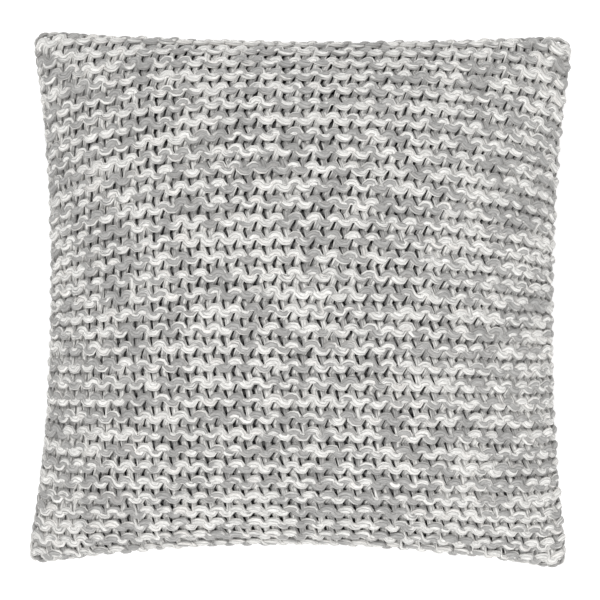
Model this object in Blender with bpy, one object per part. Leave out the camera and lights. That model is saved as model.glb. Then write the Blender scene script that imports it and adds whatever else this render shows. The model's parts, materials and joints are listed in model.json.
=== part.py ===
"""A square throw pillow with a chunky hand-knitted cover, lying on its back with its front up.

The cover is two knitted panels sewn together round the rim, each backed by a lining. A zip in
the lower seam closes it over a stuffed insert: a sewn casing round a loose fibre filling.

The origin is on the surface the pillow lies on, below its middle. +Z is up through the front,
+Y is the top edge of the front and -Y the lower edge, which holds the zip. Units are metres.

Every soft layer is the same cushion form, offset inwards. In plan each edge is an arc that bows
in between two rounded corners. The height over the seam is the rise times the dome, which is
the square root of (1 - s^2)(1 - t^2), where s and t run from -1 to 1 across the plan.
"""

import math

import bmesh
import bpy
import numpy as np

# ---------------------------------------------------------------- the cushion form
HALF_WIDTH = 0.2265      # middle to a corner, side to side, before the corner is rounded
HALF_HEIGHT = 0.2235     # middle to a corner, lower edge to top edge
SAG_TOP = 0.0092         # how far each edge bows in between its corners
SAG_BOTTOM = 0.0225
SAG_LEFT = 0.0150
SAG_RIGHT = 0.0135
DRAWN_LEFT = 0.0050      # how far the filled cloth draws a side's middle part further in
DRAWN_RIGHT = 0.0036
CORNER_PULL = 0.018      # share of its distance by which rounding draws a corner in
FRONT_RISE = 0.080       # seam to the crown of the front
BACK_DEPTH = 0.055       # seam to the face the pillow lies on
REST_SHARE = 0.88        # part of the dome past which the back lies flat

# ---------------------------------------------------------------- the layers, outside to inside
CLEAR = 0.0003           # between pieces that touch
LAYER_GAP = 0.0006       # between cloth layers that lie on each other
KNIT = 0.0100            # thickness of the garter-stitch fabric
TAPE = 0.0006
LINING = 0.0008
LABEL = 0.0003
CASING = 0.0010
SEAM_HALF = 0.0012       # half the thickness of the yarn seam that joins the two panels
SEAM_INSET = 0.0010      # rim to the outer edge of the yarn seam
SEAM_WIDTH = 0.0080

# ---------------------------------------------------------------- the zip
CORNER_TO_SLOT = 0.0585  # corner to the end of the zip opening, along the lower edge
SLOT_HALF = 0.0070       # half the height of the opening between the panels' edges
TAPE_REACH = 0.0140      # how far the front tape reaches up from the seam
TAPE_TAIL = 0.0050       # how far a tape runs on past the end of the opening
COIL_SEAT = 0.0007        # between coil and tape, whose straight cells stand nearer than its arc
COIL_DEPTH = 0.0021
COIL_HALF_GAP = 0.0009   # seam to the nearer side of a coil
COIL_WIDTH = 0.0026
STOP_LENGTH = 0.0028
SLIDER_LENGTH = 0.0100
SLIDER_RUN = 0.0004      # running clearance between the slider and the chain
PLATE = 0.0010           # thickness of the slider's outer and inner plates
LIP = 0.0009             # thickness of the lips that close the slider's sides
DIVIDER_HALF = 0.0005
NOSE_TO_STOP = 0.0005    # slider to a stop at either end of its travel
CLOSED_END_ROOM = 0.0160 # middle of the closed slider to the end of the opening
ARCH_HALF_LENGTH = 0.0034
ARCH_BAR = 0.0010
ARCH_ROOM = 0.0024       # clear height under the arch
ARCH_HALF_WIDTH = 0.0012
PULL_LENGTH = 0.0270
PULL_HALF_WIDTH = 0.0033
PULL_THICKNESS = 0.0012
PULL_EYE_LENGTH = 0.0048 # pin to the far side of the eye
PULL_SIDE_CLEAR = 0.0004 # between the arch and the sides of the eye

# ---------------------------------------------------------------- fineness
HALF_GRID = 8            # cells from the middle of a soft layer to its rim
TAPE_CELLS_ALONG = 4     # cells of that grid from the middle to the end of a tape
TAPE_CELLS_UP = 2        # and from the rim to its far edge
LABEL_CELLS_ALONG = (-2, -1)    # the cells the care label covers, from the middle
LABEL_CELLS_UP = (2, 4)         # and from the rim
SEAM_STEPS = 112
ZIP_STEPS = 32

# ---------------------------------------------------------------- worked out
SEAM_Z = BACK_DEPTH
PANEL_RIM = SEAM_HALF + CLEAR
CLOTH_RIM = CLEAR / 2
CORNER_ORDER = 2 * round((1 / CORNER_PULL - 1) / 4)  # even, and makes the corner's end turn 45 degrees


def arc_radius(half, sag):
    """Radius of the arc that bows in by sag over a chord of twice half."""
    return (half ** 2 + sag ** 2) / (2 * sag)


ZIP_RADIUS = arc_radius(HALF_WIDTH, SAG_BOTTOM)
TAPE_OUT = KNIT + CLEAR
TAPE_IN = TAPE_OUT + TAPE
LINING_OUT = TAPE_IN + LAYER_GAP
LINING_IN = LINING_OUT + LINING
LABEL_OUT = LINING_IN + LAYER_GAP
LABEL_IN = LABEL_OUT + LABEL
COIL_IN = TAPE_OUT - COIL_SEAT
COIL_OUT = COIL_IN - COIL_DEPTH
COIL_FAR = COIL_HALF_GAP + COIL_WIDTH
SLIDER_HALF_WIDTH = COIL_FAR + SLIDER_RUN + LIP
PLATE_FACE = COIL_OUT - SLIDER_RUN
SLOT_REACH = HALF_WIDTH - CORNER_TO_SLOT


def arc_sag(along, half, sag, inset):
    """How far an edge that bows in by sag lies inside its chord, for the form offset by inset."""
    radius = arc_radius(half, sag) + inset
    return sag + np.sqrt(radius ** 2 - along ** 2) - radius


def square(s, t, inset):
    """Plan position at (s, t), from the corners' middle. The rim lies inset inside the outline."""
    rounding = 1 - CORNER_PULL * (s * t) ** CORNER_ORDER
    s, t = s * rounding, t * rounding
    x = (HALF_WIDTH - inset) * s
    y = (HALF_HEIGHT - inset) * t
    x = (x - arc_sag(y, HALF_HEIGHT, SAG_RIGHT, inset) * (1 + s) / 2
         + arc_sag(y, HALF_HEIGHT, SAG_LEFT, inset) * (1 - s) / 2)
    x = x + (DRAWN_LEFT * (1 - s) - DRAWN_RIGHT * (1 + s)) / 2 * s ** 2 * (1 - t ** 4)
    y = (y - arc_sag(x, HALF_WIDTH, SAG_TOP, inset) * (1 + t) / 2
         + arc_sag(x, HALF_WIDTH, SAG_BOTTOM, inset) * (1 - t) / 2)
    return x, y


def crowding(share, angle):
    """The exponent that puts the grid line at that share of the way out at that angle from the rim."""
    return math.log(angle * 2 / math.pi) / math.log(1 - share)


# The layers share one grid, which has a line at each end of a tape and one along its far edge.
TAPE_END_S = (SLOT_REACH + TAPE_TAIL) / (HALF_WIDTH - TAPE_OUT)
TAPE_EDGE_DOME = TAPE_REACH / (FRONT_RISE - TAPE_OUT)
CROWD_S = crowding(TAPE_CELLS_ALONG / HALF_GRID, math.acos(TAPE_END_S))
CROWD_T = crowding(1 - TAPE_CELLS_UP / HALF_GRID, math.asin(TAPE_EDGE_DOME))


def grid_line(share, crowd):
    """s or t of the grid line at a share, from -1 to 1, of the way from the middle to the rim."""
    return np.sign(share) * np.cos(math.pi / 2 * (1 - np.abs(share)) ** crowd)


def outline_middle():
    """Middle of the box round the outline, which the origin lies below."""
    share = np.arange(-HALF_GRID, HALF_GRID + 1) / HALF_GRID
    s, t = np.meshgrid(grid_line(share, CROWD_S), grid_line(share, CROWD_T))
    return [(along.min() + along.max()) / 2 for along in square(s, t, 0)]


MIDDLE = outline_middle()
ZIP_CENTRE = (-MIDDLE[0], SAG_BOTTOM - HALF_HEIGHT - ZIP_RADIUS - MIDDLE[1])


def plan(s, t, inset):
    """Plan position at (s, t) in the pillow's frame."""
    x, y = square(s, t, inset)
    return x - MIDDLE[0], y - MIDDLE[1]


def dome(s, t):
    return np.sqrt(np.clip((1 - s ** 2) * (1 - t ** 2), 0, None))


def front(s, t, inset, rim):
    """The front of the cushion form: it rises from the seam with the dome."""
    x, y = plan(s, t, inset)
    z = SEAM_Z + rim + (FRONT_RISE - inset - rim) * dome(s, t)
    return np.stack([x, y, z], axis=1)


def back(s, t, inset, rim):
    """The back: it drops with a sine of the dome, which levels out where the pillow lies."""
    x, y = plan(s, t, inset)
    drop = np.sin(math.pi / 2 * np.minimum(dome(s, t) / REST_SHARE, 1))
    z = SEAM_Z - rim - (BACK_DEPTH - inset - rim) * drop
    return np.stack([x, y, z], axis=1)


def on_track(along, inset, off_seam):
    """A point on the zip's arc: along it from the middle, inset from the rim, off the seam."""
    angle = along / (ZIP_RADIUS + COIL_OUT)
    radius = ZIP_RADIUS + inset
    return np.stack([ZIP_CENTRE[0] + radius * np.sin(angle), ZIP_CENTRE[1] + radius * np.cos(angle),
                     SEAM_Z + off_seam + 0 * along], axis=1)


# The inner plate clears the tape, which leans in most at its ends.
TAPE_T = grid_line(1 - np.arange(TAPE_CELLS_UP + 1) / HALF_GRID, CROWD_T)
TAPE_HEIGHTS = COIL_HALF_GAP + (FRONT_RISE - TAPE_IN - COIL_HALF_GAP) * dome(TAPE_END_S, TAPE_T)
TAPE_LEAN = np.interp(SLIDER_HALF_WIDTH, TAPE_HEIGHTS, (HALF_HEIGHT - TAPE_IN) * (1 - TAPE_T))
INNER_PLATE_OUT = TAPE_IN + TAPE_LEAN + CLEAR
INNER_PLATE_IN = INNER_PLATE_OUT + PLATE
SLOT_DEPTH = INNER_PLATE_IN + CLEAR
CASING_OUT = max(LABEL_IN + LAYER_GAP, SLOT_DEPTH + CLEAR)
CASING_IN = CASING_OUT + CASING
FILLING_OUT = CASING_IN + LAYER_GAP

CLOSED_AT = SLOT_REACH - CLOSED_END_ROOM             # middle of the slider when the zip is shut
OPEN_AT = PULL_LENGTH + 2 * CLEAR - SLOT_REACH       # and when it is open
CHAIN_TOP = CLOSED_AT + SLIDER_LENGTH / 2 + NOSE_TO_STOP
CHAIN_BOTTOM = OPEN_AT - SLIDER_LENGTH / 2 - NOSE_TO_STOP
PIN_INSET = PLATE_FACE - PLATE - ARCH_ROOM / 2


# ---------------------------------------------------------------- building
def clear_scene():
    for old in list(bpy.data.objects):
        bpy.data.objects.remove(old, do_unlink=True)


def collection(name):
    made = bpy.data.collections.new(name)
    bpy.context.scene.collection.children.link(made)
    return made


def material(name, colour, roughness, metallic=0.0):
    made = bpy.data.materials.new(name)
    made.use_nodes = True
    shader = made.node_tree.nodes["Principled BSDF"]
    shader.inputs["Base Color"].default_value = (*colour, 1.0)
    shader.inputs["Roughness"].default_value = roughness
    shader.inputs["Metallic"].default_value = metallic
    return made


def add_object(name, bm, finish, group):
    """Makes the bmesh an object with its faces outwards."""
    bmesh.ops.recalc_face_normals(bm, faces=bm.faces[:])
    mesh = bpy.data.meshes.new(name)
    bm.to_mesh(mesh)
    bm.free()
    made = bpy.data.objects.new(name, mesh)
    group.objects.link(made)
    if finish:
        mesh.materials.append(finish)
    return made


def slab(name, outer, inner, steps, finish, group):
    """A closed slab between two sheets. Each sheet maps u and v, from -1 to 1, to points."""
    bm = bmesh.new()
    bmesh.ops.create_grid(bm, x_segments=steps[0], y_segments=steps[1], size=1)
    bmesh.ops.triangulate(bm, faces=bm.faces[:], quad_method="FIXED")
    made = bmesh.ops.extrude_face_region(bm, geom=bm.faces[:], use_keep_orig=True)
    copies = {v for v in made["geom"] if isinstance(v, bmesh.types.BMVert)}
    for verts, sheet in (([v for v in bm.verts if v not in copies], outer), (list(copies), inner)):
        flat = np.array([v.co[:2] for v in verts])
        for vert, place in zip(verts, sheet(flat[:, 0], flat[:, 1])):
            vert.co = place
    return add_object(name, bm, finish, group)


def form(side, inset, rim, across=(-1, 1), up=(-1, 1)):
    """A sheet of the cushion form, or the part of it between two shares across and two up."""
    return lambda u, v: side(grid_line(np.interp(u, (-1, 1), across), CROWD_S),
                             grid_line(np.interp(v, (-1, 1), up), CROWD_T), inset, rim)


def layer(name, side, outside, inside, rim, finish, group):
    """One cloth layer of the cushion form."""
    return slab(name, form(side, outside, rim), form(side, inside, rim),
                (2 * HALF_GRID, 2 * HALF_GRID), finish, group)


def filling(name, finish, group):
    """The stuffing: the front and the back of the form, closed at the seam."""
    return slab(name, form(front, FILLING_OUT, CLOTH_RIM), form(back, FILLING_OUT, CLOTH_RIM),
                (2 * HALF_GRID, 2 * HALF_GRID), finish, group)


def patch(name, side, layers, rim, along, up, finish, group):
    """A strip on the lower wall of the form that covers whole cells of the shared grid.

    along counts cells from the middle, and up counts them from the lower rim.
    """
    ranges = np.array(along) / HALF_GRID, np.array(up) / HALF_GRID - 1
    return slab(name, form(side, layers[0], rim, *ranges), form(side, layers[1], rim, *ranges),
                (along[1] - along[0], up[1] - up[0]), finish, group)


def yarn_seam(name, finish, group):
    """The sewn seam between the panels: all round, from one end of the zip opening to the other."""
    corners = (0, 1, 3, 5, 7, 8)   # distance round the unit square from the lower middle
    first = -1 + CORNER_TO_SLOT / HALF_WIDTH / 4     # share of the seam at which it turns the first corner

    def edge(u, inset):
        start = SLOT_REACH / (HALF_WIDTH - inset)
        along = np.interp(u, (-1, first, -first, 1), (start, 1, 7, 8 - start))
        s = np.interp(along, corners, (0, 1, 1, -1, -1, 0))
        t = np.interp(along, corners, (-1, -1, 1, 1, -1, -1))
        return plan(s, t, inset)

    def sheet(off_seam):
        def place(u, v):
            ends = zip(edge(u, SEAM_INSET), edge(u, SEAM_INSET + SEAM_WIDTH))
            x, y = (outer + (inner - outer) * (v + 1) / 2 for outer, inner in ends)
            return np.stack([x, y, SEAM_Z + off_seam + 0 * x], axis=1)
        return place
    return slab(name, sheet(SEAM_HALF), sheet(-SEAM_HALF), (SEAM_STEPS, 1), finish, group)


def track_bar(name, along, inset, off_seam, steps, finish, group):
    """A bar with a square section bent along the zip's arc, between pairs of limits."""
    def sheet(depth):
        return lambda u, v: on_track(np.interp(u, (-1, 1), along), depth,
                                     np.interp(v, (-1, 1), off_seam))
    return slab(name, sheet(inset[0]), sheet(inset[1]), (steps, 1), finish, group)


def box(name, along, inset, off_seam, group, finish=None, bevel=0.0):
    """A box in the slider's own axes: along the chain, inwards from the rim, and off the seam."""
    bm = bmesh.new()
    bmesh.ops.create_cube(bm, size=1)
    low, high = np.array([along, inset, off_seam]).T
    for vert in bm.verts:
        vert.co = (low + high) / 2 + np.array(vert.co) * (high - low)
    if bevel:
        bmesh.ops.bevel(bm, geom=bm.edges[:], offset=bevel, segments=1, affect="EDGES")
    return add_object(name, bm, finish, group)


def boolean(target, operand, operation):
    step = target.modifiers.new(f"{operation.lower()}_{operand.name}", "BOOLEAN")
    step.operation = operation
    step.object = operand
    step.solver = "EXACT"


def hide_as_cutter(cutter):
    cutter.display_type = "WIRE"
    cutter.hide_render = True


def zip_slider(finish, group, cutters):
    """Two plates joined by a divider, with lips round the coils and an arch for the pull."""
    half = SLIDER_LENGTH / 2
    lip = SLIDER_HALF_WIDTH - LIP
    top = PLATE_FACE - PLATE
    arch = top - ARCH_ROOM
    body = box("zip_slider", (-half, half), (top, PLATE_FACE),
               (-SLIDER_HALF_WIDTH, SLIDER_HALF_WIDTH), group, finish)
    weld = PLATE / 2     # how far joined shapes run into each other
    joined = [
        box("slider_inner_plate", (-half, half), (INNER_PLATE_OUT, INNER_PLATE_IN),
            (-SLIDER_HALF_WIDTH, SLIDER_HALF_WIDTH), cutters),
        box("slider_divider", (-half / 2, half * 0.9), (PLATE_FACE - weld, INNER_PLATE_OUT + weld),
            (-DIVIDER_HALF, DIVIDER_HALF), cutters),
        box("slider_upper_lip", (-half, half), (PLATE_FACE - weld, COIL_IN - CLEAR),
            (lip, SLIDER_HALF_WIDTH), cutters),
        box("slider_lower_lip", (-half, half), (PLATE_FACE - weld, COIL_IN - CLEAR),
            (-SLIDER_HALF_WIDTH, -lip), cutters),
        box("slider_arch", (-ARCH_HALF_LENGTH, ARCH_HALF_LENGTH), (arch - ARCH_BAR, top + weld),
            (-ARCH_HALF_WIDTH, ARCH_HALF_WIDTH), cutters),
    ]
    window = box("slider_arch_window", (ARCH_BAR - ARCH_HALF_LENGTH, ARCH_HALF_LENGTH - ARCH_BAR),
                 (arch, top), (-SLIDER_HALF_WIDTH, SLIDER_HALF_WIDTH), cutters)
    for piece in joined:
        boolean(body, piece, "UNION")
    boolean(body, window, "DIFFERENCE")
    return body, joined + [window]


def zip_pull(finish, group, cutters):
    """A flat tab with an eye that runs round the slider's arch. Its end bar is the pin."""
    pin = PULL_THICKNESS / 2
    tab = box("zip_pull", (-PULL_LENGTH, pin), (-pin, pin), (-PULL_HALF_WIDTH, PULL_HALF_WIDTH),
              group, finish, bevel=PULL_THICKNESS / 4)
    eye_half = ARCH_HALF_WIDTH + PULL_SIDE_CLEAR
    eye = box("pull_eye", (-PULL_EYE_LENGTH, -pin), (-PULL_THICKNESS, PULL_THICKNESS),
              (-eye_half, eye_half), cutters)
    boolean(tab, eye, "DIFFERENCE")
    return tab, [eye]


def empty_at(name, place, turn, group, parent=None):
    made = bpy.data.objects.new(name, None)
    made.empty_display_size = 0.02
    group.objects.link(made)
    made.parent = parent
    made.location = place
    made.rotation_euler.z = turn
    return made


def build():
    clear_scene()
    pillow = collection("throw_pillow")
    cutters = collection("cutters")

    knit = material("marled_yarn", (0.62, 0.61, 0.58), 0.95)
    seam_yarn = material("seam_yarn", (0.70, 0.69, 0.66), 0.95)
    lining = material("grey_lining", (0.16, 0.16, 0.16), 0.9)
    ticking = material("insert_cotton", (0.85, 0.84, 0.80), 0.9)
    fibre = material("polyester_fibre", (0.90, 0.90, 0.88), 1.0)
    webbing = material("zip_tape_weave", (0.72, 0.72, 0.70), 0.8)
    nylon = material("zip_coil_nylon", (0.68, 0.68, 0.66), 0.4)
    steel = material("zip_metal", (0.60, 0.60, 0.60), 0.35, 1.0)
    ribbon = material("label_ribbon", (0.88, 0.88, 0.88), 0.5)

    panels = [layer("front_knit_panel", front, 0, KNIT, PANEL_RIM, knit, pillow),
              layer("back_knit_panel", back, 0, KNIT, PANEL_RIM, knit, pillow)]
    linings = [layer("front_lining", front, LINING_OUT, LINING_IN, CLOTH_RIM, lining, pillow),
               layer("back_lining", back, LINING_OUT, LINING_IN, CLOTH_RIM, lining, pillow)]
    layer("insert_front_casing", front, CASING_OUT, CASING_IN, CLOTH_RIM, ticking, pillow)
    layer("insert_back_casing", back, CASING_OUT, CASING_IN, CLOTH_RIM, ticking, pillow)
    filling("insert_filling", fibre, pillow)
    yarn_seam("knit_seam", seam_yarn, pillow)
    patch("care_label", back, (LABEL_OUT, LABEL_IN), CLOTH_RIM,
          LABEL_CELLS_ALONG, LABEL_CELLS_UP, ribbon, pillow)

    # The opening is cut a knit's thickness deeper than the slider, to take all of the lining there.
    slot = track_bar("zip_opening", (-SLOT_REACH, SLOT_REACH), (-KNIT, SLOT_DEPTH + KNIT),
                     (-SLOT_HALF, SLOT_HALF), ZIP_STEPS, None, cutters)
    for cloth in panels + linings:
        boolean(cloth, slot, "DIFFERENCE")

    for name, side in (("front_zip_tape", front), ("back_zip_tape", back)):
        patch(name, side, (TAPE_OUT, TAPE_IN), COIL_HALF_GAP,
              (-TAPE_CELLS_ALONG, TAPE_CELLS_ALONG), (0, TAPE_CELLS_UP), webbing, pillow)
    coil_depth = (COIL_OUT, COIL_IN)
    chain = (CHAIN_BOTTOM + CLEAR, CHAIN_TOP - CLEAR)
    track_bar("front_zip_coil", chain, coil_depth, (COIL_HALF_GAP, COIL_FAR), ZIP_STEPS, nylon, pillow)
    track_bar("back_zip_coil", chain, coil_depth, (-COIL_FAR, -COIL_HALF_GAP), ZIP_STEPS, nylon, pillow)
    track_bar("zip_bottom_stop", (CHAIN_BOTTOM - STOP_LENGTH, CHAIN_BOTTOM), coil_depth,
              (-COIL_FAR, COIL_FAR), 2, steel, pillow)
    track_bar("zip_front_top_stop", (CHAIN_TOP, CHAIN_TOP + STOP_LENGTH), coil_depth,
              (COIL_HALF_GAP, COIL_FAR), 2, steel, pillow)
    track_bar("zip_back_top_stop", (CHAIN_TOP, CHAIN_TOP + STOP_LENGTH), coil_depth,
              (-COIL_FAR, -COIL_HALF_GAP), 2, steel, pillow)

    # The slider turns about the middle of the zip's arc, and the pull about its pin.
    track_turn = -CLOSED_AT / (ZIP_RADIUS + COIL_OUT)
    track_axis = empty_at("zip_track_axis", (*ZIP_CENTRE, SEAM_Z), track_turn, pillow)
    pin_axis = empty_at("zip_pull_axis", (0, ZIP_RADIUS + PIN_INSET, 0), 0, pillow, track_axis)
    slider, slider_tools = zip_slider(steel, pillow, cutters)
    pull, pull_tools = zip_pull(steel, pillow, cutters)
    for piece in [slider] + slider_tools:
        piece.parent = track_axis
        piece.location = (0, ZIP_RADIUS, 0)
    for piece in [pull] + pull_tools:
        piece.parent = pin_axis
    for cutter in cutters.objects:
        hide_as_cutter(cutter)
    for piece in pillow.objects:
        if piece.type == "MESH":
            piece.data.shade_smooth()


build()
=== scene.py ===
"""Looks of a square throw pillow with a chunky garter-stitch cover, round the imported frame.

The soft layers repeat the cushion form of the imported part, swollen a little by a cloth
simulation. The cover is knitted: each course of yarn is a tube that follows a looped line,
laid on the swollen form. Lengths are metres unless a name says otherwise.
"""

import json
import math

import bpy
import numpy as np
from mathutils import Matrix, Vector


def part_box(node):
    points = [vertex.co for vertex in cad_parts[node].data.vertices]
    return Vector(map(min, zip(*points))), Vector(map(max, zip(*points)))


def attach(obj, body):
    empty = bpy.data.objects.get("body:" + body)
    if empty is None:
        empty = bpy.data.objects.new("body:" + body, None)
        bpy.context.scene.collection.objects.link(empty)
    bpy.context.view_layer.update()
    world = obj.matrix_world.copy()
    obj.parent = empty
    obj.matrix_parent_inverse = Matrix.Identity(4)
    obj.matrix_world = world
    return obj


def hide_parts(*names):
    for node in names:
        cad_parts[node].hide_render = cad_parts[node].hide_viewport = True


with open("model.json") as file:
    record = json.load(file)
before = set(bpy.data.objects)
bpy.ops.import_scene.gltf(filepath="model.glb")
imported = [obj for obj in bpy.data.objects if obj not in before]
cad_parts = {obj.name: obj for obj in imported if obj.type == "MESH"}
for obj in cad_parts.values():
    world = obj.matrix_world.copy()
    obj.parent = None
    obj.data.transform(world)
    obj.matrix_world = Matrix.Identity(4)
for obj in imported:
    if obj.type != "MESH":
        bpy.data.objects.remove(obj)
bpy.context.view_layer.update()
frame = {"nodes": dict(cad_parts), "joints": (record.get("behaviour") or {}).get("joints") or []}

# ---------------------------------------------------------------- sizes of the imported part
HALF_WIDTH, HALF_HEIGHT = 0.2265, 0.2235
SAG_TOP, SAG_BOTTOM, SAG_LEFT, SAG_RIGHT = 0.0092, 0.0225, 0.0150, 0.0135
CORNER_PULL, CORNER_ORDER = 0.018, 28
DRAWN_LEFT, DRAWN_RIGHT = 0.0050, 0.0036   # how far the filled cloth draws its sides further in
FRONT_RISE, SEAM_Z, REST_SHARE = 0.080, 0.055, 0.88
CLOTH_RIM = 0.00015
TAPE_LAYER, LINING_LAYER = (0.0103, 0.0109), (0.0115, 0.0123)
LABEL_LAYER, CASING_LAYER = (0.0129, 0.0132), (0.0146, 0.0156)
FILLING_INSET = 0.0163
SLOT_REACH, SLOT_HALF = 0.168, 0.0070   # the zip opening, from its middle
COIL_INSETS, COIL_OFF_SEAM = (0.0075, 0.0096), (0.00075, 0.0035)
TRACK_RUN = 0.0075       # inset at which lengths along the zip are measured
TAPE_TOP, TAPE_REACH = 0.0140, 0.1725
TAPE_GAP = 0.0009        # seam to a tape's coil edge
PI = math.pi

# the zip's arc, about its joint's axis, and from there the middle of the plan
ZIP_AXIS = next(j for j in frame["joints"] if j["name"] == "zip_run")["pos_m"]
ZIP_RADIUS = (HALF_WIDTH ** 2 + SAG_BOTTOM ** 2) / (2 * SAG_BOTTOM)
MIDDLE = (-ZIP_AXIS[0], SAG_BOTTOM - HALF_HEIGHT - ZIP_RADIUS - ZIP_AXIS[1])

# ---------------------------------------------------------------- sizes of the knitting
STITCHES, COURSES = 32, 66      # across and up each side
YARN_HALF_WIDTH, YARN_HALF_DEPTH = 0.0036, 0.0025   # at a loop's head or foot
LEG_SHARE = 0.80         # a leg's thickness, drawn tighter, as a share of that
LOOP_DEPTH = 0.0028      # middle of the cloth to the middle of a loop's head or foot
LOOP_SINK = 0.0036       # and to the middle of one at the cloth's inner face
LOOP_HALF = 0.84         # middle of a course to its heads, in courses
BULGE = 0.120            # how far a loop is wider at its head than straight up, in stitches
LEAN = 0.135             # shift of the front ridges against the back ones, in stitches
WANDER = 0.11            # how far columns of stitches stray across, in stitches
SLUB = 0.055             # how much the yarn's thickness strays, as a share of it
FLATTEN = 0.5            # how much flatter a loop's head is than a cosine's crest
DEPTH_POWER = 1.5        # of the cosine that takes a course through the cloth
JIGS = (0.065, 0.030, 0.10)     # spread of a head's or foot's own shift: up, across, share of depth
TUCK, TUCK_REACH = 0.0025, 0.30 # how deep a course's ends turn in, and over how many stitches
YARN_INSET, YARN_RIM = 0.0052, 0.0044   # the middle of the cloth, off the rim and off the seam
SLOT_LIFT = 0.0054       # how much further the knitting keeps off the seam at the zip
SLOT_FADE = (0.010, 0.001)      # beyond the opening's end: where that starts, and is whole
SLOT_ANGLES = (0.9, 1.5)        # and the angles down from the middle
PLIES = 6
PLY_TURNS = 0.30         # turns of the plies round the yarn in a stitch
PLY_DEPTH = 0.10         # of the furrows between them, as a share of the yarn's radius
SWELLING, SWELLING_TURN = 0.07, 0.11    # of the yarn: its share, and its radians a step
STEPS_AT_BENDS = 0.45    # how much closer a tube's steps stand at heads and feet than at legs
STRIP_MARGIN = 0.03      # share of a tube's strip on the map that is left free at either side


# ---------------------------------------------------------------- the cushion form
def smooth(x, low, high):
    """0 below low, 1 above high, and 3x^2 - 2x^3 between."""
    x = np.clip((x - low) / (high - low), 0, 1)
    return x * x * (3 - 2 * x)


def arc_sag(along, half, sag, inset):
    """Depth below the chord of an arc that bows in by sag, offset inwards by inset."""
    radius = (half ** 2 + sag ** 2) / (2 * sag) + inset
    return sag + np.sqrt(radius ** 2 - along ** 2) - radius


def plan(s, t, inset):
    """The pillow's plan: a rectangle whose corners are drawn in and whose edges bow in by arcs."""
    drawn = 1 - CORNER_PULL * (s * t) ** CORNER_ORDER
    s, t = s * drawn, t * drawn
    x, y = (HALF_WIDTH - inset) * s, (HALF_HEIGHT - inset) * t
    x = (x - arc_sag(y, HALF_HEIGHT, SAG_RIGHT, inset) * (1 + s) / 2
         + arc_sag(y, HALF_HEIGHT, SAG_LEFT, inset) * (1 - s) / 2)
    x = x + (DRAWN_LEFT * (1 - s) - DRAWN_RIGHT * (1 + s)) / 2 * s * s * (1 - t ** 4)
    y = (y - arc_sag(x, HALF_WIDTH, SAG_TOP, inset) * (1 + t) / 2
         + arc_sag(x, HALF_WIDTH, SAG_BOTTOM, inset) * (1 - t) / 2)
    return x - MIDDLE[0], y - MIDDLE[1]


def form(side, a, b, inset, rim, lift=0.0):
    """A point of the form at angles a across and b up, from -90 to 90 degrees.

    Height off the seam is rim plus the rest of the rise times the dome, cos(a) cos(b). The back
    drops by the sine of the dome, and levels out where it rests. lift raises the lower rim
    between the ends of the zip opening.
    """
    x, y = plan(np.sin(a), np.sin(b), inset)
    dome = np.cos(a) * np.cos(b)
    start, whole = (-SLOT_REACH - far for far in SLOT_FADE)
    by_zip = smooth(-np.abs(x), start, whole) * smooth(-b, *SLOT_ANGLES)
    rim = rim + lift * by_zip
    if side == "front":
        z = SEAM_Z + rim + (FRONT_RISE - inset - rim) * dome
    else:
        drop = np.sin(PI / 2 * np.minimum(dome / REST_SHARE, 1))
        z = SEAM_Z - rim - (SEAM_Z - inset - rim) * drop
    return np.stack([x, y, z], axis=-1)


def read(table, across, up):
    """A table's values at shares across and up of the way over it, straight between its points."""
    rows, columns = table.shape[0] - 1, table.shape[1] - 1
    x, y = np.clip(across, 0, 1) * columns, np.clip(up, 0, 1) * rows
    i = np.minimum(x.astype(int), columns - 1)
    j = np.minimum(y.astype(int), rows - 1)
    x, y = (x - i)[..., None], (y - j)[..., None]
    return ((table[j, i] * (1 - x) + table[j, i + 1] * x) * (1 - y)
            + (table[j + 1, i] * (1 - x) + table[j + 1, i + 1] * x) * y)


WHOLE = (-PI / 2, PI / 2)


def grid(cells, across=WHOLE, up=WHOLE):
    """Angles across and up on a square grid with that many cells each way."""
    return np.meshgrid(np.linspace(*across, cells + 1), np.linspace(*up, cells + 1))


# ---------------------------------------------------------------- meshes
def add_mesh(name, points, faces, corner_uvs=None, finish=None):
    """An object from arrays. faces is a list of index arrays, a row to a face, one per kind."""
    made = bpy.data.meshes.new(name)
    loops = np.concatenate([f.ravel() for f in faces])
    sizes = np.concatenate([np.full(len(f), f.shape[1]) for f in faces])
    made.vertices.add(len(points))
    made.vertices.foreach_set("co", np.asarray(points, np.float32).ravel())
    made.loops.add(len(loops))
    made.loops.foreach_set("vertex_index", loops.astype(np.int32))
    made.polygons.add(len(sizes))
    made.polygons.foreach_set("loop_start", (np.cumsum(sizes) - sizes).astype(np.int32))
    made.polygons.foreach_set("loop_total", sizes.astype(np.int32))
    made.update(calc_edges=True)
    made.validate()
    made.polygons.foreach_set("use_smooth", np.full(len(sizes), True))
    if corner_uvs is not None:
        layer = made.uv_layers.new(name="OFBake", do_init=False)
        layer.uv.foreach_set("vector", np.asarray(corner_uvs, np.float32).ravel())
    if finish:
        made.materials.append(finish)
    obj = bpy.data.objects.new(name, made)
    bpy.context.scene.collection.objects.link(obj)
    return obj


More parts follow.
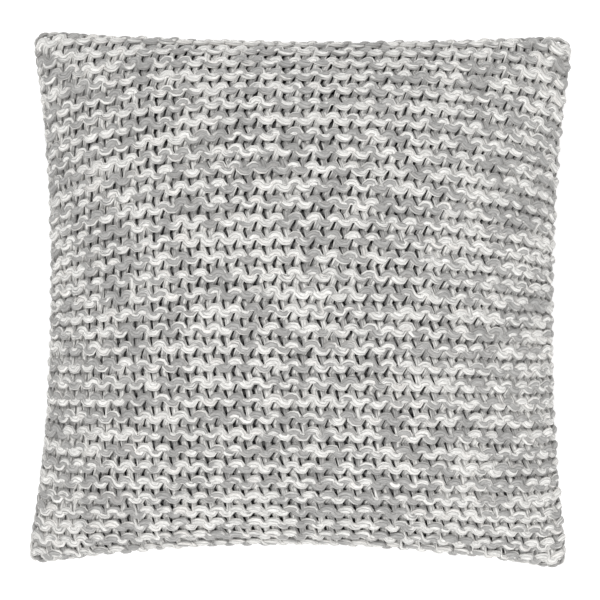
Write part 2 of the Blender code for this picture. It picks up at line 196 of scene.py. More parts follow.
def tubes(name, centres, outward, half_width, half_depth, sides, finish, lobes=0, twist=0.0):
    """Tubes round lines of points, as one mesh.

    centres and outward are (lines, steps, 3). A section is an ellipse, half_width along the
    cloth and half_depth off it, with lobes that turn by twist radians a step. The ends close
    with a face each. On the map each line is a strip: along it runs across, round it runs up.
    """
    lines, steps = centres.shape[:2]
    forward = np.gradient(centres, axis=1)
    forward /= np.linalg.norm(forward, axis=2, keepdims=True)
    across = np.cross(outward, forward)
    across /= np.linalg.norm(across, axis=2, keepdims=True) + 1e-12
    off = np.cross(forward, across)
    turn = np.arange(sides) / sides * 2 * PI
    angle = turn + twist * np.arange(steps)[:, None]
    swell = 1 - PLY_DEPTH * lobes_low(turn, lobes)
    wide, deep = ((np.broadcast_to(half, (lines, steps))[..., None] * swell * wave)[..., None]
                  for half, wave in ((half_width, np.cos(angle)), (half_depth, np.sin(angle))))
    points = centres[:, :, None] + across[:, :, None] * wide + off[:, :, None] * deep
    line, step, side = np.meshgrid(np.arange(lines), np.arange(steps - 1), np.arange(sides),
                                   indexing="ij")
    after, beside = step + 1, (side + 1) % sides

    def index(step, side):
        return (line * steps + step) * sides + side
    quads = np.stack([index(step, side), index(step, beside), index(after, beside),
                      index(after, side)], axis=-1).reshape(-1, 4)
    u0, u1 = step / (steps - 1), after / (steps - 1)
    v0, v1 = ((line + STRIP_MARGIN + (1 - 2 * STRIP_MARGIN) * (side + k) / sides) / lines
              for k in (0, 1))
    uvs = np.stack([u0, v0, u0, v1, u1, v1, u1, v0], axis=-1)
    faces, corner_uvs = [quads], [uvs.reshape(-1, 2)]
    # each end face is a small disc on the map, in the free margin of its line's strip
    start = np.arange(lines)[:, None] * steps * sides
    first = start + np.arange(sides)[::-1]
    last = start + (steps - 1) * sides + np.arange(sides)
    ring = 0.4 * STRIP_MARGIN * np.stack([np.cos(turn), np.sin(turn)], axis=1) / lines
    base = (np.arange(lines)[:, None, None] + np.array([0.0, 0.5 * STRIP_MARGIN])) / lines
    for cap, at in ((first, 0.0), (last, 1.0)):
        spot = base * [0, 1] + [abs(at - ring[:, 0].max()), 0] + ring
        faces.append(cap)
        corner_uvs.append(spot.reshape(-1, 2))
    return add_mesh(name, points.reshape(-1, 3), faces, np.concatenate(corner_uvs), finish)


def lobes_low(turn, lobes):
    """1 in the furrows between a yarn's plies and 0 on the plies' backs."""
    if not lobes:
        return 0 * turn
    place = (turn / (2 * PI) * lobes) % 1
    return np.clip(1 - 3 * np.minimum(place, 1 - place), 0, 1)


def shell(name, side, insets, rim, finish, cells=64, across=WHOLE, up=WHOLE, lift=0.0):
    """A closed cloth layer: an outer and an inner sheet of the form, joined round the edge."""
    a, b = grid(cells, across, up)
    sheets = [swollen(side, a, b, inset, rim, lift) for inset in insets]
    return slab(name, sheets, finish, side == "back")


SHEET_ON_MAP, SHEET_CORNERS = (0.48, 0.96), ((0.01, 0.02), (0.51, 0.02))
WALLS_ON_MAP = 0.015


def slab(name, sheets, finish, turned):
    """Two sheets of points on a grid, joined round their edges into a closed slab.

    On the map the sheets lie side by side, and the walls are a strip along the lower edge.
    """
    rows, columns = sheets[0].shape[:2]
    number = np.arange(rows * columns).reshape(rows, columns)
    top = np.stack([number[:-1, :-1], number[:-1, 1:], number[1:, 1:], number[1:, :-1]], -1)
    top = top.reshape(-1, 4)
    edge = np.concatenate([number[0, :-1], number[:-1, -1], number[-1, :0:-1], number[:0:-1, 0]])
    after = np.roll(edge, -1)
    walls = np.stack([edge, edge + number.size, after + number.size, after], -1)
    quads = np.concatenate([top, top[:, ::-1] + number.size, walls])
    u, v = np.meshgrid(np.linspace(0, 1, columns), np.linspace(0, 1, rows))
    flat = np.stack([u, v], -1).reshape(-1, 2) * SHEET_ON_MAP
    corner_uvs = np.concatenate([flat + corner for corner in SHEET_CORNERS])[quads]
    strip = np.linspace(0, 1, len(walls) + 1)
    near, far = strip[:-1], strip[1:]
    corner_uvs[-len(walls):] = np.stack([np.stack([x, 0 * x + y], -1) for x, y in (
        (near, 0), (near, WALLS_ON_MAP), (far, WALLS_ON_MAP), (far, 0))], 1)
    if turned:
        quads, corner_uvs = quads[:, ::-1], corner_uvs[:, ::-1]
    points = np.concatenate([s.reshape(-1, 3) for s in sheets])
    return add_mesh(name, points, [quads], corner_uvs.reshape(-1, 2), finish)


# ---------------------------------------------------------------- the stuffing's pressure
SIM_CELLS, SIM_FRAMES, SIM_PRESSURE = 56, 20, 4
SIM_STRETCH, SIM_SHEAR, SIM_BEND = 12, 6, 1.5   # stiffness of the cloth each way
HELD_BELOW = 0.07        # height of the dome below which the cloth is held
SWELL_CAP = 0.006        # furthest a point may move
SWELL_FADE = (0.10, 0.45)       # heights of the dome between which the moves grow to whole
EVENINGS = 4             # times the moves are evened out


def simulate():
    """How far each point of the front and the back moves when the stuffing presses on the cloth.

    The two sides are one closed mesh whose rim is pinned. The moves are capped, fade out
    towards the rim and are evened out over their neighbours.
    """
    a, b = grid(SIM_CELLS)
    sides = [form(side, a, b, 0, 0) for side in ("front", "back")]
    count = a.size
    number = np.arange(count).reshape(a.shape)
    rim = np.zeros(a.shape, bool)
    rim[[0, -1]] = rim[:, [0, -1]] = True
    other = np.where(rim, number, number + count)
    faces = []
    for index, order in ((number, slice(None)), (other, slice(None, None, -1))):
        quads = np.stack([index[:-1, :-1], index[:-1, 1:], index[1:, 1:], index[1:, :-1]], -1)
        faces.append(quads.reshape(-1, 4)[:, order])
    used, faces = np.unique(np.concatenate(faces), return_inverse=True)
    rest = np.concatenate([s.reshape(-1, 3) for s in sides])
    body = add_mesh("pressed_cloth", rest[used], [faces.reshape(-1, 4)])
    held = body.vertex_groups.new(name="rim")
    low = np.cos(a) * np.cos(b) < HELD_BELOW
    pinned = np.flatnonzero(np.isin(used % count, number[low]))
    held.add(pinned.tolist(), 1.0, "REPLACE")
    cloth = body.modifiers.new("pressure", "CLOTH")
    cloth.settings.vertex_group_mass = "rim"
    cloth.settings.use_pressure = True
    cloth.settings.uniform_pressure_force = SIM_PRESSURE
    cloth.settings.tension_stiffness = cloth.settings.compression_stiffness = SIM_STRETCH
    cloth.settings.shear_stiffness = SIM_SHEAR
    cloth.settings.bending_stiffness = SIM_BEND
    cloth.settings.effector_weights.gravity = 0
    cloth.point_cache.frame_end = SIM_FRAMES
    scene = bpy.context.scene
    for step in range(1, SIM_FRAMES + 1):
        scene.frame_set(step)
    evaluated = body.evaluated_get(bpy.context.evaluated_depsgraph_get())
    after = np.zeros(len(used) * 3, np.float32)
    evaluated.data.vertices.foreach_get("co", after)
    moved = np.zeros_like(rest)
    moved[used] = after.reshape(-1, 3) - rest[used]
    bpy.data.objects.remove(body)
    scene.frame_set(1)
    far = np.linalg.norm(moved, axis=1, keepdims=True)
    moved *= np.minimum(1, SWELL_CAP / np.maximum(far, 1e-9))
    swell = {}
    fade = smooth(np.cos(a) * np.cos(b), *SWELL_FADE)[..., None]
    for k, name in enumerate(("front", "back")):
        table = moved[k * count:(k + 1) * count].reshape(*a.shape, 3) * fade
        for _ in range(EVENINGS):
            padded = np.pad(table, ((1, 1), (1, 1), (0, 0)), "edge")
            table = (2 * table + padded[:-2, 1:-1] + padded[2:, 1:-1]
                     + padded[1:-1, :-2] + padded[1:-1, 2:]) / 6
        swell[name] = table * fade
    return swell


SWELL = simulate()


def swollen(side, a, b, inset, rim, lift=0.0):
    """A point of the form after the stuffing has pressed it out, kept above what it lies on."""
    place = form(side, a, b, inset, rim, lift)
    place = place + read(SWELL[side], a / PI + 0.5, b / PI + 0.5)
    place[..., 2] = np.maximum(place[..., 2], min(inset, SEAM_Z))
    return place


# ---------------------------------------------------------------- where stitches lie
LIE = 200                # cells each way of the tables that say where stitches lie
CROWD_ACROSS, CROWD_UP = 0.10, 0.08     # how much closer stitches stand at the rim
DROOP_LEFT, DROOP_RIGHT = 0.048, 0.024  # how far rows sink at the upper sides
DROOP_FROM = 0.42        # share up from which they do
LAY_ROUNDS = 6           # turns in which the places settle


def even_shares(places, angles, crowd):
    """For each line of a grid, the angles at even shares of its length, crowded to the rim."""
    steps = np.linalg.norm(np.diff(places, axis=1), axis=2)
    middles = (angles[1:] + angles[:-1]) / 2
    steps = steps * (1 + 2 * crowd * np.sin(middles) ** 2)
    run = np.concatenate([np.zeros((len(steps), 1)), np.cumsum(steps, axis=1)], axis=1)
    run /= run[:, -1:]
    shares = np.linspace(0, 1, len(angles))
    return np.stack([np.interp(shares, line, angles) for line in run])[..., None]


def stitch_tables(side):
    """Places and outward directions of the middle of the knitting, over shares across and up.

    The shares are even lengths along the cloth both ways, found by turns: the angle across for
    the present angle up, then the angle up for the new angle across. Rows sink at the upper sides.
    """
    a, b = grid(LIE)
    angles = a[0]
    places = swollen(side, a, b, YARN_INSET, YARN_RIM)
    across_at = even_shares(places, angles, CROWD_ACROSS)
    up_at = even_shares(places.transpose(1, 0, 2), angles, CROWD_UP)
    across, up = np.meshgrid(np.linspace(0, 1, LIE + 1), np.linspace(0, 1, LIE + 1))
    sink = (DROOP_LEFT * np.clip(1 - 2 * across, 0, 1) ** 3
            + DROOP_RIGHT * np.clip(2 * across - 1, 0, 1) ** 3)
    up = up - sink * np.sin(PI * np.clip((up - DROOP_FROM) / (1 - DROOP_FROM), 0, 1))
    b = 0 * b
    for _ in range(LAY_ROUNDS):
        a = read(across_at, across, b / PI + 0.5)[..., 0]
        b = read(up_at, up, a / PI + 0.5)[..., 0]
    step = 1e-3
    inside = PI / 2 - 2 * step

    def at(a, b):
        return swollen(side, a, b, YARN_INSET, YARN_RIM, SLOT_LIFT)
    clipped_a, clipped_b = np.clip(a, -inside, inside), np.clip(b, -inside, inside)
    along = at(clipped_a + step, clipped_b) - at(clipped_a - step, clipped_b)
    upward = at(clipped_a, clipped_b + step) - at(clipped_a, clipped_b - step)
    normal = np.cross(along, upward) * (1 if side == "front" else -1)
    normal /= np.linalg.norm(normal, axis=2, keepdims=True) + 1e-12
    return at(a, b), normal


def course_lines(side, steps_a_stitch, seed):
    """Centre lines of all courses of one side, and the cloth's outward direction along them.

    With p the phase, a turn to a stitch: across is p plus BULGE sin 2p, up is minus LOOP_HALF
    cos p with its crests flattened, and the depth is a power of the cosine, which puts odd
    courses' feet and even courses' heads at the front. Each foot and head has its own small
    shift, and columns of stitches wander slowly across.
    """
    draw = np.random.default_rng(seed)
    ends = (COURSES, 2 * STITCHES + 1)
    jig_up, jig_across, jig_depth = draw.normal(0, JIGS, (*ends, 3)).transpose(2, 0, 1)
    even = np.where(np.arange(ends[1]) % 2 == 0, -1.0, 1.0)     # -1 at feet, 1 at heads
    front = even * np.where(np.arange(COURSES) % 2 == 0, 1.0, -1.0)[:, None]
    turns = np.arange(STITCHES * steps_a_stitch + 1) / steps_a_stitch
    turns = turns - STEPS_AT_BENDS * np.sin(4 * PI * turns) / (4 * PI)
    at = np.minimum((2 * turns).astype(int), ends[1] - 2)
    ease = (1 - np.cos(PI * (2 * turns - at))) / 2
    ease = ease + FLATTEN * (3 * ease ** 2 - 2 * ease ** 3 - ease)

    def between(values):
        return values[..., at] * (1 - ease) + values[..., at + 1] * ease
    up = between(even * LOOP_HALF + jig_up)
    face = between(front)
    table = draw.normal(0, WANDER, (COURSES // 3, STITCHES // 4, 1))
    wander = read(table, turns / STITCHES, np.arange(COURSES)[:, None] / COURSES)[..., 0]
    lean = LEAN * face + between(jig_across) + wander
    across = turns + BULGE * np.sin(4 * PI * turns) + lean
    depth = np.where(face > 0, LOOP_DEPTH, LOOP_SINK) * np.sign(face) * np.abs(face) ** DEPTH_POWER
    depth = depth * (1 + between(jig_depth))
    tuck = sum(np.exp(-(far / TUCK_REACH) ** 2) for far in (turns, STITCHES - turns))
    depth = depth - TUCK * tuck
    span = COURSES - 1 + 2 * LOOP_HALF
    up = (np.arange(COURSES)[:, None] + LOOP_HALF + up) / span
    across = across / STITCHES
    places, normals = stitch_tables(side)
    normal = read(normals, across, up)
    normal /= np.linalg.norm(normal, axis=2, keepdims=True)
    centres = read(places, across, up) + normal * depth[..., None]
    return centres, normal, face, draw


# ---------------------------------------------------------------- finishes
class Wire:
    """A number in a finish's node tree. Arithmetic on it adds the Math nodes that do it."""

    def __init__(self, finish, socket):
        self.finish, self.socket = finish, socket

    def math(self, operation, *values):
        return self.finish.node("Math", {"operation": operation}, dict(enumerate(values)))

    def __add__(self, other):
        return self.math("ADD", self, other)

    def __sub__(self, other):
        return self.math("SUBTRACT", self, other)

    def __rsub__(self, other):
        return self.math("SUBTRACT", other, self)

    def __mul__(self, other):
        return self.math("MULTIPLY", self, other)

    def __truediv__(self, other):
        return self.math("DIVIDE", self, other)

    def out(self, name):
        """Another output of the node this number comes from."""
        return Wire(self.finish, self.socket.node.outputs[name])

    def floor(self):
        return self.math("FLOOR", self)

    def fraction(self):
        return self.math("FRACT", self)

    def sine(self):
        return self.math("SINE", self)

    def cosine(self):
        return self.math("COSINE", self)

    def modulo(self, other):
        return self.math("MODULO", self, other)

    def size(self):
        return self.math("ABSOLUTE", self)

    def lesser(self, other):
        return self.math("MINIMUM", self, other)

    def ease(self, low, high, to_low=0.0, to_high=1.0):
        """Eased from to_low at low to to_high at high."""
        return self.finish.node("MapRange", {"interpolation_type": "SMOOTHSTEP"},
                                {0: self, 1: low, 2: high, 3: to_low, 4: to_high})


class Finish:
    """A material under construction, whose main shader is a Principled BSDF."""

    def __init__(self, name, roughness=0.9, **constants):
        self.material = bpy.data.materials.new(name)
        self.material.use_nodes = True
        self.tree = self.material.node_tree
        self.shader = self.tree.nodes["Principled BSDF"]
        self.shader.inputs["Roughness"].default_value = roughness
        for key, value in constants.items():
            self.shader.inputs[key.replace("_", " ").title()].default_value = value

    def node(self, kind, settings=None, sockets=None, out=0):
        """A node of that kind, its settings made first and then its sockets set or linked."""
        made = self.tree.nodes.new("ShaderNode" + kind)
        for key, value in (settings or {}).items():
            setattr(made, key, value)
        for key, value in (sockets or {}).items():
            self.set(made.inputs[key], value)
        return Wire(self, made.outputs[out])

    def set(self, socket, value):
        if isinstance(value, Wire):
            self.tree.links.new(value.socket, socket)
        else:
            socket.default_value = value

    def mix(self, share, one, two, blend="MIX"):
        """Two colours mixed by a share."""
        one, two = ((*c, 1.0) if isinstance(c, tuple) else c for c in (one, two))
        return self.node("Mix", {"data_type": "RGBA", "blend_type": blend},
                         {0: share, 6: one, 7: two}, out=2)

    def place(self, scale=(1, 1, 1)):
        """The point in the object's own space, scaled."""
        at = self.node("TexCoord", out="Object")
        return self.node("Mapping", sockets={"Vector": at, "Scale": scale})

    def noise(self, at, scale, detail=2.0, rough=0.5):
        return self.node("TexNoise", sockets={"Vector": at, "Scale": scale, "Detail": detail,
                                              "Roughness": rough})

    def done(self, colour, height=None, depth=0.0005, strength=1.0, roughness=None):
        """Feeds the shader its colour, bump and roughness."""
        self.set(self.shader.inputs["Base Color"], colour)
        if height is not None:
            bump = self.node("Bump", sockets={"Height": height, "Distance": depth,
                                              "Strength": strength})
            self.set(self.shader.inputs["Normal"], bump)
        if roughness is not None:
            self.set(self.shader.inputs["Roughness"], roughness)
        return self.material


OFF_WHITE, MID_GREY, WARM_TINT = (0.79, 0.78, 0.755), (0.415, 0.41, 0.40), (0.80, 0.66, 0.60)
TONE_CUT = (0.476, 0.506)       # the noise below which a ply is grey, and above which off-white
PAINTED_FURROW_SHADE = 0.30      # painted shade: how much darker the furrows between plies are coloured
PAINTED_BACK_SHADE = 0.12        # painted shade: the yarn's brightness where it lies at the cloth's inner face


def marled_yarn(name, lines, stitches, seed, first=None):
    """Loose plies of off-white and grey side by side, each with its own run of either tone.

    The map's own strips give the place along the yarn, round it and the course. A ply's tone is
    a noise along the course, shared in part by all its plies, cut sharply at the middle. The
    furrows between plies are coloured darker as painted shade. Where first is given, the number
    of the first course, the yarn is coloured darker towards the inner face as painted shade.
    """
    finish = Finish(name, roughness=0.92, sheen_weight=0.18, sheen_roughness=0.6)
    at = finish.node("UVMap", {"uv_map": "OFBake"})
    split = finish.node("SeparateXYZ", sockets={0: at})
    along, row = split * float(stitches), split.out("Y") * float(lines)
    course = row.floor()
    around = ((row - course) - STRIP_MARGIN) / (1 - 2 * STRIP_MARGIN) * float(PLIES)
    ply = around.floor().lesser(PLIES - 1.0)
    furrow = (around.fraction() - 0.5).size().ease(0.30, 0.5)

    def run(pitch, spread, offset):
        """Noise along the yarn that differs from course to course and by spread from ply to ply."""
        key = course * 7.31 + ply * spread + (seed * 3.7 + offset)
        line = finish.node("CombineXYZ", sockets={0: along * pitch, 1: key, 2: key * 0.37})
        return finish.noise(line, scale=1.0, detail=1.0)
    fibre_at = finish.node("CombineXYZ", sockets={0: along * 4.0, 1: row * 19.0, 2: along * 0.6})
    fibre = finish.noise(fibre_at, scale=1.0, detail=3.0, rough=0.6)
    fuzz = finish.noise(fibre_at, scale=3.1, detail=2.0, rough=0.7)
    shared = run(pitch=0.42, spread=0.0, offset=0.0)
    own = run(pitch=0.75, spread=2.9, offset=40.0)
    shade = run(pitch=1.6, spread=5.3, offset=80.0)
    warm = run(pitch=0.9, spread=1.7, offset=120.0).ease(0.56, 0.70)
    tone = (shared * 0.48 + own * 0.52 + (fibre - 0.5) * 0.10).ease(*TONE_CUT)
    colour = finish.mix(tone, MID_GREY, OFF_WHITE)
    colour = finish.mix(warm * 0.10, colour, WARM_TINT, "MULTIPLY")
    tone_and_painted_shade = (shade.ease(0.3, 0.7, 0.88, 1.06) * fibre.ease(0.3, 0.7, 0.80, 1.14)
             * fuzz.ease(0.3, 0.7, 0.78, 1.20))
    # painted shade: the furrows between plies are coloured darker
    tone_and_painted_shade = tone_and_painted_shade * (1.0 - furrow * PAINTED_FURROW_SHADE)
    # painted shade: where the yarn lies at the cloth's inner face, behind the front loops, its
    # colour is darkened
    if first is not None:
        turned = (course + float(first)).modulo(2.0) * 2.0 - 1.0
        face = (along * (2 * PI)).cosine() * turned
        tone_and_painted_shade = tone_and_painted_shade * face.ease(-0.75, -0.20, PAINTED_BACK_SHADE, 1.0)
    grey = finish.node("CombineColor", sockets={0: tone_and_painted_shade, 1: tone_and_painted_shade, 2: tone_and_painted_shade})
    colour = finish.mix(1.0, colour, grey, "MULTIPLY")
    height = fibre * 0.6 + fuzz * 0.5 - furrow * 0.8
    return finish.done(colour, height, depth=0.0006, strength=0.7)


def woven(name, dark, light, threads_mm, roughness=0.85, depth=0.0002, **constants):
    """Plain weave: square waves of sines each way in the object's own space, over and under.

    threads_mm is the pitch of the threads. Slubs vary the tone slowly along them.
    """
    finish = Finish(name, roughness=roughness, **constants)
    at = finish.place()
    split = finish.node("SeparateXYZ", sockets={0: at})
    turns = PI / (threads_mm / 1000)
    warp, weft = ((axis * turns).sine() for axis in (split, split.out("Y") + split.out("Z")))
    over = (warp * weft).ease(-0.4, 0.4)
    ridge = warp.size().lesser(weft.size())
    slub = finish.noise(finish.place((40, 260, 40)), scale=1.0, detail=3.0)
    share = over * 0.45 + ridge * 0.25 + slub * 0.5
    colour = finish.mix(share.lesser(1.0), dark, light)
    return finish.done(colour, ridge * 0.6 + over * 0.4, depth, strength=0.6)


def fibre_fill(name):
    """Carded fibre: two scales of noise that open into soft tufts."""
    finish = Finish(name, roughness=1.0, sheen_weight=0.3)
    tuft = finish.noise(finish.place(), scale=60.0, detail=4.0, rough=0.6)
    strand = finish.noise(finish.place((300, 1200, 500)), scale=1.0)
    colour = finish.mix(tuft.ease(0.3, 0.7), (0.74, 0.74, 0.73), (0.92, 0.92, 0.91))
    return finish.done(colour, tuft + strand * 0.4, depth=0.004, strength=0.8)


def zip_nylon(name):
    """Drawn nylon: slightly clouded, with a fine grain round each turn."""
    finish = Finish(name, roughness=0.35, coat_weight=0.2)
    cloud = finish.noise(finish.place(), scale=900.0)
    colour = finish.mix(cloud.ease(0.3, 0.7), (0.46, 0.46, 0.45), (0.60, 0.60, 0.58))
    rough = cloud.ease(0.2, 0.8, 0.28, 0.45)
    return finish.done(colour, cloud, depth=0.00005, strength=0.4, roughness=rough)


def brushed_metal(name):
    """Zinc with a brushed grain along the zip, duller where it is rubbed."""
    finish = Finish(name, roughness=0.3, metallic=1.0)
    grain = finish.noise(finish.place((250, 4000, 4000)), scale=1.0, detail=3.0)
    rub = finish.noise(finish.place(), scale=260.0)
    colour = finish.mix(rub.ease(0.35, 0.7), (0.50, 0.50, 0.51), (0.74, 0.74, 0.75))
    rough = grain.ease(0.2, 0.8, 0.24, 0.42) + rub.ease(0.5, 0.8, 0.0, 0.12)
    return finish.done(colour, grain, depth=0.00004, strength=0.5, roughness=rough)


LINING = woven("grey_lining_weave", (0.05, 0.05, 0.052), (0.17, 0.17, 0.172), 0.9)
COTTON = woven("insert_cotton_weave", (0.70, 0.69, 0.65), (0.88, 0.87, 0.84), 0.8)
WEBBING = woven("zip_tape_weave", (0.42, 0.42, 0.41), (0.66, 0.66, 0.64), 0.7, 0.75)
RIBBON = woven("label_satin_weave", (0.78, 0.78, 0.78), (0.92, 0.92, 0.92), 0.25, 0.45, 0.00005)
FIBRE = fibre_fill("polyester_fibre")
NYLON = zip_nylon("coil_nylon")
METAL = brushed_metal("zip_metal_brushed")


def wear(piece, body, slot, *stood_for):
    """A piece rides on its body and stands for CAD nodes, which it hides. slot is not used."""
    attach(piece, body)
    if stood_for:
        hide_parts(*stood_for)
    return piece


# ---------------------------------------------------------------- the knitted cover
def knit(side, bands, steps, sides, seed):
    """One side of the cover, in bands of courses, with that many steps along a stitch."""
    centres, normals, face, draw = course_lines(side, steps, seed)
    start = draw.uniform(0, 6.3, (COURSES, 1))
    fuller = 1 + SWELLING * np.sin(np.arange(centres.shape[1]) * SWELLING_TURN + start)
    share = np.linspace(0, 1, centres.shape[1])
    slub = read(draw.normal(0, SLUB, (COURSES, 2 * STITCHES, 1)), share,
                np.arange(COURSES)[:, None] / (COURSES - 1))[..., 0]
    fuller = (fuller + slub) * (LEG_SHARE + (1 - LEG_SHARE) * smooth(face, 0.1, 0.9))
    cuts = np.linspace(0, COURSES, bands + 1).astype(int)
    for number, (low, high) in enumerate(zip(cuts[:-1], cuts[1:]), 1):
        name = f"{side}_knit_courses_{number}"
        finish = marled_yarn(f"marled_yarn_{side}_{number}", high - low, STITCHES,
                             seed + number, low)
        band = tubes(name, centres[low:high], normals[low:high], YARN_HALF_WIDTH * fuller[low:high],
                     YARN_HALF_DEPTH * fuller[low:high], sides, finish, PLIES,
                     PLY_TURNS * 2 * PI / steps)
        floor_it(band)
        wear(band, "cushion", "marled_yarn", f"{side}_knit_panel")


def floor_it(piece):
    """Presses what would lie under the rest plane flat on it."""
    co = np.zeros(len(piece.data.vertices) * 3, np.float32)
    piece.data.vertices.foreach_get("co", co)
    co[2::3] = np.maximum(co[2::3], 0.0)
    piece.data.vertices.foreach_set("co", co)


knit("front", bands=4, steps=12, sides=12, seed=11)
knit("back", bands=3, steps=8, sides=12, seed=29)


# ---------------------------------------------------------------- the sewn seam
SEAM_PITCH, SEAM_STEPS = 0.0080, 12     # of a stitch, and the points in it
SEAM_INSET = 0.0050      # rim to the middle of the helix
SEAM_START = SLOT_REACH + 0.0065        # where it starts, which leaves the pull free
SEAM_OUT, SEAM_ALONG, SEAM_UP = 0.0016, 0.0018, 0.0033      # half its size each way
SEAM_YARN_HALF = (0.0025, 0.0020)
RIM_SAMPLES = 4001


def rim_line(inset, start, pitch, steps_a_pitch):
    """Points round the rim at even distances, from one end of the zip opening to the other.

    The way round is counted in half sides, from the middle of the lower one.
    """
    along = np.linspace(start, 8 - start, RIM_SAMPLES)
    corners = (0, 1, 3, 5, 7, 8)
    s = np.interp(along, corners, (0, 1, 1, -1, -1, 0))
    t = np.interp(along, corners, (-1, -1, 1, 1, -1, -1))
    line = np.stack(plan(s, t, inset), axis=1)
    run = np.concatenate([[0], np.cumsum(np.linalg.norm(np.diff(line, axis=0), axis=1))])
    cycles = round(run[-1] / pitch)
    shares = np.linspace(0, run[-1], cycles * steps_a_pitch + 1)
    return np.stack([np.interp(shares, run, axis) for axis in line.T], axis=1), cycles


def seam():
    """Overcast yarn: it goes round the edges of both panels as a flattened helix along the rim."""
    line, cycles = rim_line(SEAM_INSET, SEAM_START / HALF_WIDTH, SEAM_PITCH, SEAM_STEPS)
    along = np.gradient(line, axis=0)
    along /= np.linalg.norm(along, axis=1, keepdims=True)
    out = np.stack([along[:, 1], -along[:, 0]], axis=1)
    phase = np.linspace(0, 2 * PI * cycles, len(line))
    centre = np.zeros((1, len(line), 3))
    centre[0, :, :2] = (line + out * (SEAM_OUT * np.cos(phase))[:, None]
                        + along * (SEAM_ALONG * np.sin(phase))[:, None])
    centre[0, :, 2] = SEAM_Z + SEAM_UP * np.sin(phase)
    outward = np.zeros_like(centre)
    outward[0, :, :2] = out
    finish = marled_yarn("seam_yarn_marled", 1, cycles, 47)
    piece = tubes("seam_overcast_yarn", centre, outward, *SEAM_YARN_HALF, 12, finish, PLIES, 0.15)
    wear(piece, "cushion", "seam_yarn", "knit_seam")


seam()

# ---------------------------------------------------------------- the layers under the knitting
for side in ("front", "back"):
    lining = shell(f"{side}_lining_cloth", side, LINING_LAYER, CLOTH_RIM, LINING, lift=SLOT_HALF)
    wear(lining, "cushion", "lining", f"{side}_lining")
    casing = shell(f"insert_{side}_casing_cloth", side, CASING_LAYER, CLOTH_RIM, COTTON)
    wear(casing, "cushion", "insert_cotton", f"insert_{side}_casing")


def stuffing():
    """The fibre filling: the form's front and back, closed at the rim, with soft lumps."""
    a, b = grid(72)
    lump = np.sin(9 * a + 2 * np.sin(5 * b)) * np.sin(8 * b + 2 * np.sin(6 * a))
    lump = 0.0012 * lump - 0.0013
    dome = smooth(np.cos(a) * np.cos(b), 0.0, 0.3)
    sheets = []
    for side, sign in (("front", 1), ("back", -1)):
        sheet = swollen(side, a, b, FILLING_INSET, CLOTH_RIM)
        sheet[..., 2] += sign * lump * dome
        sheets.append(sheet)
    piece = slab("insert_fibre", sheets, FIBRE, False)
    wear(piece, "cushion", "filling", "insert_filling")


stuffing()

# ---------------------------------------------------------------- the zip
def track(along, inset, off_seam):
    """Points on the zip's arc: along it from the middle, inset from the rim, off the seam."""
    angle = along / (ZIP_RADIUS + TRACK_RUN)
    radius = ZIP_RADIUS + inset
    return np.stack([ZIP_AXIS[0] + radius * np.sin(angle), ZIP_AXIS[1] + radius * np.cos(angle),
                     SEAM_Z + off_seam + 0 * angle], axis=-1)


def node_reach(node):
    """The lengths along the zip at which a CAD node starts and ends."""
    low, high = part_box(node)
    return tuple(math.asin((x - ZIP_AXIS[0]) / (ZIP_RADIUS + TRACK_RUN)) * (ZIP_RADIUS + TRACK_RUN)
                 for x in (low.x, high.x))


def tape(side):
    """One half of the zip tape, woven, with its cord edge along the coil."""
    sign = 1 if side == "front" else -1
    rise = FRONT_RISE if side == "front" else SEAM_Z
    x, share = np.meshgrid(np.linspace(-TAPE_REACH, TAPE_REACH, 97), np.linspace(0, 1, 9))
    sheets = []
    for inset in TAPE_LAYER:
        height = TAPE_GAP + (TAPE_TOP - TAPE_GAP) * share
        dome = height / (rise - inset)
        if side == "back":
            dome = np.arcsin(dome) * 2 / PI * REST_SHARE
        a = np.arcsin(x / (HALF_WIDTH - inset))
        b = -np.arccos(np.clip(dome / np.cos(a), 0, 1))
        sheets.append(swollen(side, a, b, inset, CLOTH_RIM))
        sheets[-1][..., 2] = SEAM_Z + sign * height
    piece = slab(f"{side}_zip_tape_webbing", sheets, WEBBING, side == "back")
    wear(piece, "cushion", "zip_tape", f"{side}_zip_tape")


def coil(side):
    """Nylon coil: loops of one wire, a flattened helix along the zip's arc."""
    sign = 1 if side == "front" else -1
    low, high = node_reach(f"{side}_zip_coil")
    wire, pitch, steps = 0.00034, 0.00145, 8    # half its thickness, a turn's length and points
    turns = round((high - low - 4 * wire) / pitch)
    phase = np.linspace(0, turns * 2 * PI, turns * steps + 1)
    along = np.linspace(low + 2 * wire, high - 2 * wire, len(phase))
    middle, half = sum(COIL_INSETS) / 2, (COIL_INSETS[1] - COIL_INSETS[0]) / 2 - wire
    off_middle = sum(COIL_OFF_SEAM) / 2
    off_half = (COIL_OFF_SEAM[1] - COIL_OFF_SEAM[0]) / 2 - wire
    centre = track(along, middle - half * np.cos(phase),
                   sign * (off_middle + off_half * np.sin(phase)))
    outward = np.zeros_like(centre)
    outward[:, 0] = 1.0
    piece = tubes(f"{side}_coil_wire", centre[None], outward[None], wire, wire, 6, NYLON)
    wear(piece, "cushion", "zip_coil", f"{side}_zip_coil")


def tape_stitches():
    """Running stitches that hold the tapes: short flattened threads in two rows by the coil."""
    pitch, length, reach, steps = 0.0042, 0.0030, 0.164, 6
    row, sunk, bow = 0.0057, 0.0001, 0.00030
    half_width, half_depth = 0.00028, 0.00020
    starts = np.arange(-reach, reach - length, pitch)
    share = np.linspace(0, 1, steps)
    along = starts[:, None] + share * length
    inset = TAPE_LAYER[0] + sunk - bow * np.sin(PI * share)
    lines = np.concatenate([track(along, inset, off_seam) for off_seam in (row, -row)])
    outs = np.broadcast_to((0.0, -1.0, 0.0), lines.shape)
    thread = Finish("tape_thread", roughness=0.7)
    grain = thread.noise(thread.place((1500, 3000, 3000)), scale=1.0)
    colour = thread.mix(grain.ease(0.3, 0.7), (0.50, 0.50, 0.49), (0.74, 0.74, 0.72))
    piece = tubes("zip_tape_stitches", lines, outs, half_width, half_depth, 6,
                  thread.done(colour, grain, depth=0.00005, strength=0.5))
    wear(piece, "cushion", "zip_tape")


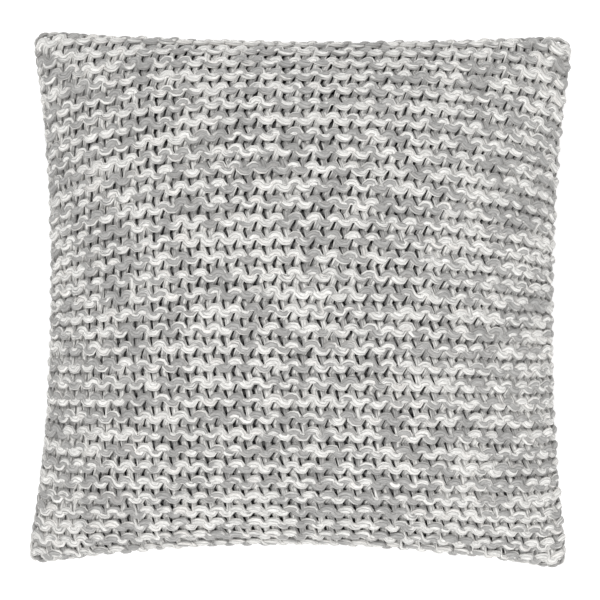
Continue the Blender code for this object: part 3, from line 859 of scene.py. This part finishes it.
for side in ("front", "back"):
    tape(side)
    coil(side)
tape_stitches()
for node in ("zip_slider", "zip_pull", "zip_bottom_stop", "zip_front_top_stop",
             "zip_back_top_stop"):
    frame["nodes"][node].data.materials.clear()
    frame["nodes"][node].data.materials.append(METAL)


def label():
    """The blank care label, a ribbon sewn in between the back lining and the insert."""
    low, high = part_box("care_label")
    a = tuple(math.asin((x + MIDDLE[0]) / (HALF_WIDTH - LABEL_LAYER[0])) for x in (low.x, high.x))
    rows = [math.asin(min(1, (SEAM_Z - z) / (SEAM_Z - LABEL_LAYER[0]))) * 2 / PI * REST_SHARE
            for z in (high.z, low.z)]
    b = tuple(-math.acos(min(1, row / math.cos(sum(a) / 2))) for row in rows)
    piece = shell("care_label_ribbon", "back", LABEL_LAYER, CLOTH_RIM, RIBBON, 16, a, b)
    wear(piece, "cushion", "label_ribbon", "care_label")


label()

# ---------------------------------------------------------------- stage, light and camera
def plain(name, colour, roughness):
    """A smooth, faintly clouded paint with a little light of its own, for the floor."""
    finish = Finish(name, roughness=roughness, emission_color=(1, 1, 1, 1), emission_strength=0.30)
    cloud = finish.noise(finish.place(), scale=3.0)
    return finish.done(finish.mix(cloud, tuple(c * 0.99 for c in colour), colour))


ground = add_mesh("studio_floor", np.array([[-6, -6, 0], [6, -6, 0], [6, 6, 0], [-6, 6, 0]], float),
                  [np.array([[0, 1, 2, 3]])], finish=plain("studio_white", (0.93, 0.93, 0.93), 0.9))


def area_light(name, place, size, power, aim=(0, 0, 0.05)):
    """A round lamp, size across and power in watts, turned towards a point."""
    lamp = bpy.data.lights.new(name, "AREA")
    lamp.shape, lamp.size, lamp.energy = "DISK", size, power
    obj = bpy.data.objects.new(name, lamp)
    bpy.context.scene.collection.objects.link(obj)
    obj.location = place
    away = obj.location - Vector(aim)
    obj.rotation_mode = "QUATERNION"
    obj.rotation_quaternion = away.to_track_quat("Z", "Y")


area_light("soft_key", (-0.25, 1.1, 2.3), size=1.4, power=25)
area_light("soft_fill", (0.3, -1.5, 1.9), size=2.0, power=27)
world = bpy.data.worlds.new("studio")
world.use_nodes = True
sky = world.node_tree.nodes["Background"]
sky.inputs["Color"].default_value = (1, 1, 1, 1)
sky.inputs["Strength"].default_value = 0.60
bpy.context.scene.world = world
bpy.context.scene.view_settings.view_transform = "Standard"

CAMERA_RISE, FRAME_WIDTH, ROLL = 2.4, 0.4944, math.radians(0.55)
lens = bpy.data.cameras.new("camera")
lens.sensor_width = 36
lens.lens = lens.sensor_width * CAMERA_RISE / FRAME_WIDTH
lens.clip_end = 20
camera = bpy.data.objects.new("camera", lens)
bpy.context.scene.collection.objects.link(camera)
camera.location = (0, 0, SEAM_Z + CAMERA_RISE)
camera.rotation_euler = (0, 0, ROLL)
bpy.context.scene.camera = camera
